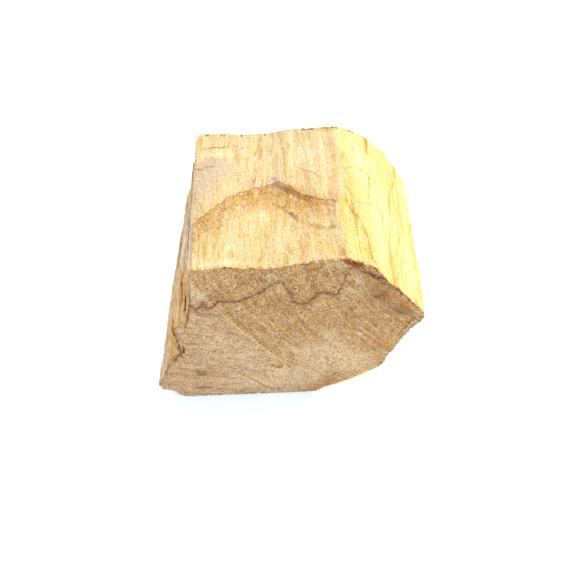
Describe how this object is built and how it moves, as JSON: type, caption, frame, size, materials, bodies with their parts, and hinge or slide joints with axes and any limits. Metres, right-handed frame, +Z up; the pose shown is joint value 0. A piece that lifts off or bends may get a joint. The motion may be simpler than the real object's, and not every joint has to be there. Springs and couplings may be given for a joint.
{
  "type": "palo santo chunk",
  "caption": "Short thick chunk of raw palo santo wood, sawn across the grain at both ends, split along it on the other sides, resting on a flat foot.",
  "frame": {"origin": "middle of the footprint's box, on the surface that the chunk rests on", "axes": "+Z up, +Y along the grain from the front sawn end to the back one, +X across the grain towards the sloping side"},
  "size_m": [0.0646, 0.0456, 0.0503],
  "materials": {
    "raw_wood": "raw, unplaned, sawn across the ends and split along the sides"
  },
  "bodies": {
    "root": {"wood_chunk": "raw_wood"}
  },
  "joints": []
}
